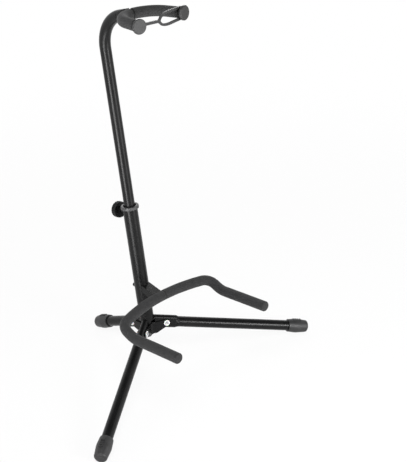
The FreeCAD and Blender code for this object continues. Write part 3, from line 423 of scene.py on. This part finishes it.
def moulded_rubber():
    """Satin rubber with a fine moulded grain."""
    rubber = Surface("moulded_rubber")
    patches = rubber.noise(scale=70, detail=4)
    rubber.colour_between(patches, low=grey(0.012), high=grey(0.021))
    rubber.roughness_between(patches, low=0.42, high=0.56)
    rubber.bump(rubber.noise(scale=900, detail=3), depth=0.03 * MM, strength=0.6)
    return rubber.material


def moulded_plastic():
    """Dark satin plastic."""
    plastic = Surface("moulded_plastic")
    plastic.set(Specular_IOR_Level=0.15)
    patches = plastic.noise(scale=60, detail=3)
    plastic.colour_between(patches, low=grey(0.003), high=grey(0.006))
    plastic.roughness_between(patches, low=0.30, high=0.40)
    plastic.bump(plastic.noise(scale=1300, detail=2), depth=0.015 * MM, strength=0.6)
    return plastic.material


def satin_plastic():
    """Paler satin plastic of the mast collar."""
    plastic = Surface("satin_plastic")
    patches = plastic.noise(scale=90, detail=3)
    plastic.colour_between(patches, low=grey(0.028), high=grey(0.044))
    plastic.roughness_between(patches, low=0.40, high=0.52)
    plastic.bump(plastic.noise(scale=1300, detail=2), depth=0.015 * MM, strength=0.6)
    return plastic.material


def plated_steel():
    """Bright zinc with fine turning marks."""
    plating = Surface("bright_plating")
    plating.set(Metallic=1.0)
    patches = plating.noise(scale=240, detail=4)
    plating.colour_between(patches, low=grey(0.52), high=grey(0.68))
    plating.roughness_between(patches, low=0.20, high=0.34)
    marks = plating.noise(scale=1600, detail=2, stretch=(1, 4, 1))
    plating.bump(marks, depth=0.012 * MM, strength=0.5)
    return plating.material


def natural_nylon():
    """Slightly translucent white nylon."""
    nylon = Surface("natural_nylon")
    nylon.set(Subsurface_Weight=0.15, Subsurface_Scale=1.2 * MM)
    patches = nylon.noise(scale=180, detail=3)
    nylon.colour_between(patches, low=(0.72, 0.72, 0.70), high=(0.84, 0.84, 0.82))
    nylon.roughness_between(patches, low=0.38, high=0.50)
    nylon.bump(nylon.noise(scale=1100, detail=2), depth=0.01 * MM, strength=0.5)
    return nylon.material


materials = {
    "black_paint": painted_steel(),
    "foam": foam_rubber(),
    "rubber": moulded_rubber(),
    "black_plastic": moulded_plastic(),
    "plated_steel": plated_steel(),
    "nylon": natural_nylon(),
}


def dress(piece, material):
    """Gives a piece one material all over."""
    piece.data.materials.clear()
    piece.data.materials.append(material)


slot_of = {entry["node"]: entry["material_slot"] for entry in frame["record"]["subparts"]}
for node, piece in frame["nodes"].items():
    dress(piece, materials[slot_of[node]])
for piece in foam_pieces:
    dress(piece, materials["foam"])
dress(frame["nodes"]["mast_collar"], satin_plastic())


# Studio

FLOOR_ALBEDO = 0.9
FLOOR_ROUGHNESS = 0.9
FLOOR_HALF_WIDTH = 8.0
# How far the floor lets the white behind it through to the eye; the rest of it takes the stand's shadow
FLOOR_NEAR_WHITE = 0.90
FLOOR_FAR_WHITE = 1.0
# Distances from the stand between which the floor's shadow fades out
SHADOW_FADE_START = 0.5
SHADOW_FADE_END = 1.6
FILL_LEVEL = 0.25
HORIZON_LEVEL = 1.0
CEILING_LEVEL = 0.2
# Heights of view, as sines, between which the white horizon fades to the ceiling
HORIZON_TOP = math.sin(math.radians(30))
CEILING_FOOT = math.sin(math.radians(52))


def combined(tree, operation, first, second):
    """The result of a math node on two sockets."""
    node = tree.nodes.new("ShaderNodeMath")
    node.operation = operation
    tree.links.new(first, node.inputs[0])
    tree.links.new(second, node.inputs[1])
    return node.outputs["Value"]


def faded(tree, value, start, end, first, last):
    """A smooth step from one level to another as a socket's value passes from start to end."""
    fade = tree.nodes.new("ShaderNodeMapRange")
    fade.interpolation_type = "SMOOTHSTEP"
    for name, number in (("From Min", start), ("From Max", end), ("To Min", first), ("To Max", last)):
        fade.inputs[name].default_value = number
    tree.links.new(value, fade.inputs["Value"])
    return fade.outputs["Result"]


def seen_or_mirrored(tree):
    """1 for what the camera sees directly, mirrored or through something clear, and 0 for light."""
    path = tree.nodes.new("ShaderNodeLightPath")
    seen = path.outputs["Is Camera Ray"]
    for ray in ("Is Glossy Ray", "Is Transmission Ray"):
        seen = combined(tree, "MAXIMUM", seen, path.outputs[ray])
    return seen


def pale_floor():
    """A pale matte surface that takes light and shadow, and that the eye mostly sees through."""
    material = bpy.data.materials.new("pale_floor")
    material.use_nodes = True
    tree = material.node_tree
    shader = next(node for node in tree.nodes if node.type == "BSDF_PRINCIPLED")
    output = next(node for node in tree.nodes if node.type == "OUTPUT_MATERIAL")
    shader.inputs["Base Color"].default_value = (FLOOR_ALBEDO, FLOOR_ALBEDO, FLOOR_ALBEDO, 1)
    shader.inputs["Roughness"].default_value = FLOOR_ROUGHNESS
    place = tree.nodes.new("ShaderNodeTexCoord")
    length = tree.nodes.new("ShaderNodeVectorMath")
    length.operation = "LENGTH"
    tree.links.new(place.outputs["Object"], length.inputs[0])
    distance = length.outputs["Value"]
    white = faded(tree, distance, SHADOW_FADE_START, SHADOW_FADE_END, FLOOR_NEAR_WHITE, FLOOR_FAR_WHITE)
    clear = tree.nodes.new("ShaderNodeBsdfTransparent")
    mix = tree.nodes.new("ShaderNodeMixShader")
    tree.links.new(combined(tree, "MULTIPLY", seen_or_mirrored(tree), white), mix.inputs["Fac"])
    tree.links.new(shader.outputs["BSDF"], mix.inputs[1])
    tree.links.new(clear.outputs["BSDF"], mix.inputs[2])
    tree.links.new(mix.outputs["Shader"], output.inputs["Surface"])
    return material


def studio_floor():
    """A floor under the stand, through which legs folded below it show."""
    half = FLOOR_HALF_WIDTH
    corners = [(-half, -half, 0), (half, -half, 0), (half, half, 0), (-half, half, 0)]
    mesh = bpy.data.meshes.new("floor")
    mesh.from_pydata(corners, [], [(0, 1, 2, 3)])
    mesh.materials.append(pale_floor())
    floor = bpy.data.objects.new("floor", mesh)
    bpy.context.scene.collection.objects.link(floor)


def studio_world():
    """A white horizon under a darker ceiling to the eye, and an even fill light."""
    world = bpy.data.worlds.new("studio")
    bpy.context.scene.world = world
    world.use_nodes = True
    tree = world.node_tree
    background = next(node for node in tree.nodes if node.type == "BACKGROUND")
    background.inputs["Color"].default_value = (1, 1, 1, 1)
    direction = tree.nodes.new("ShaderNodeTexCoord")
    height = tree.nodes.new("ShaderNodeSeparateXYZ")
    tree.links.new(direction.outputs["Generated"], height.inputs["Vector"])
    backdrop = faded(tree, height.outputs["Z"], HORIZON_TOP, CEILING_FOOT, HORIZON_LEVEL, CEILING_LEVEL)
    level = tree.nodes.new("ShaderNodeMix")
    level.inputs["A"].default_value = FILL_LEVEL
    tree.links.new(seen_or_mirrored(tree), level.inputs["Factor"])
    tree.links.new(backdrop, level.inputs["B"])
    tree.links.new(level.outputs["Result"], background.inputs["Strength"])


def softbox(name, location, target, size, power, spread):
    """A rectangular area lamp, with the angle that a grid on its front lets through."""
    light = bpy.data.lights.new(name, "AREA")
    light.shape = "RECTANGLE"
    light.size, light.size_y = size
    light.spread = spread
    light.energy = power
    lamp = bpy.data.objects.new(name, light)
    lamp.location = location
    lamp.rotation_euler = (Vector(target) - Vector(location)).to_track_quat("-Z", "Y").to_euler()
    bpy.context.scene.collection.objects.link(lamp)


MIDDLE = (0, 0, 0.3)
UPPER_MAST = (0, 0.04, 0.5)
FLOOR_LAMP = (-0.66, -0.24, 0.01)
OVER_FLOOR_LAMP = (-0.66, -0.24, 1)
NO_GRID = math.pi
NARROW_GRID = math.radians(60)
# Name, place, aim, size, power in watts and grid of each lamp
SOFTBOXES = (
    ("overhead", (-0.9, -0.7, 2.2), MIDDLE, (1.2, 1.2), 30, NO_GRID),
    ("front", (0.1, -1.9, 0.80), MIDDLE, (0.5, 0.5), 20, NO_GRID),
    ("low_left", (-0.95, -0.32, 0.28), UPPER_MAST, (0.46, 0.5), 1.25, NARROW_GRID),
    ("low_right", (0.28, -1.1, 0.28), MIDDLE, (0.5, 0.5), 3, NO_GRID),
    ("floor_left", FLOOR_LAMP, OVER_FLOOR_LAMP, (0.5, 0.26), 3.4, NO_GRID),
    ("rear_left", (-1.6, 1.4, 1.2), MIDDLE, (0.8, 0.8), 8, NO_GRID),
    ("rear_right", (1.5, 1.5, 1.4), MIDDLE, (0.9, 0.9), 14, NO_GRID),
)

studio_floor()
studio_world()
for lamp_values in SOFTBOXES:
    softbox(*lamp_values)


# Camera fitted to the photograph

PHOTO_WIDTH, PHOTO_HEIGHT = 407, 462
FOCAL_PIXELS = 1062.21
CAMERA_AZIMUTH = math.radians(-46.117)
CAMERA_ELEVATION = math.radians(28.909)
CAMERA_ROLL = math.radians(-0.165)
# The point of the mast that the camera is placed by, its pixel and its distance along the view
TARGET_ABOVE_HUB = 3.3 * MM
TARGET_PIXEL = (146.916, 318.572)
TARGET_DEPTH = 1996.41 * MM
SENSOR_WIDTH = 36
CLIP_END = 20


def photo_camera():
    """The camera of the photograph's view, whose sensor spans the picture's height."""
    away = Vector((
        math.sin(CAMERA_AZIMUTH) * math.cos(CAMERA_ELEVATION),
        -math.cos(CAMERA_AZIMUTH) * math.cos(CAMERA_ELEVATION),
        math.sin(CAMERA_ELEVATION),
    ))
    level = Vector((math.cos(CAMERA_AZIMUTH), math.sin(CAMERA_AZIMUTH), 0))
    right = Matrix.Rotation(CAMERA_ROLL, 3, away) @ level
    above = away.cross(right)
    across = (TARGET_PIXEL[0] - PHOTO_WIDTH / 2) / FOCAL_PIXELS * TARGET_DEPTH
    down = (TARGET_PIXEL[1] - PHOTO_HEIGHT / 2) / FOCAL_PIXELS * TARGET_DEPTH
    target = hub + mast_axis * TARGET_ABOVE_HUB
    place = target - right * across + above * down + away * TARGET_DEPTH
    lens = bpy.data.cameras.new("photo_view")
    lens.sensor_width = SENSOR_WIDTH
    lens.lens = FOCAL_PIXELS * SENSOR_WIDTH / PHOTO_HEIGHT
    lens.clip_end = CLIP_END
    camera = bpy.data.objects.new("photo_view", lens)
    camera.matrix_world = Matrix.Translation(place) @ Matrix((right, above, away)).transposed().to_4x4()
    bpy.context.scene.collection.objects.link(camera)
    return camera


bpy.context.scene.camera = photo_camera()
bpy.context.scene.view_settings.view_transform = "Standard"
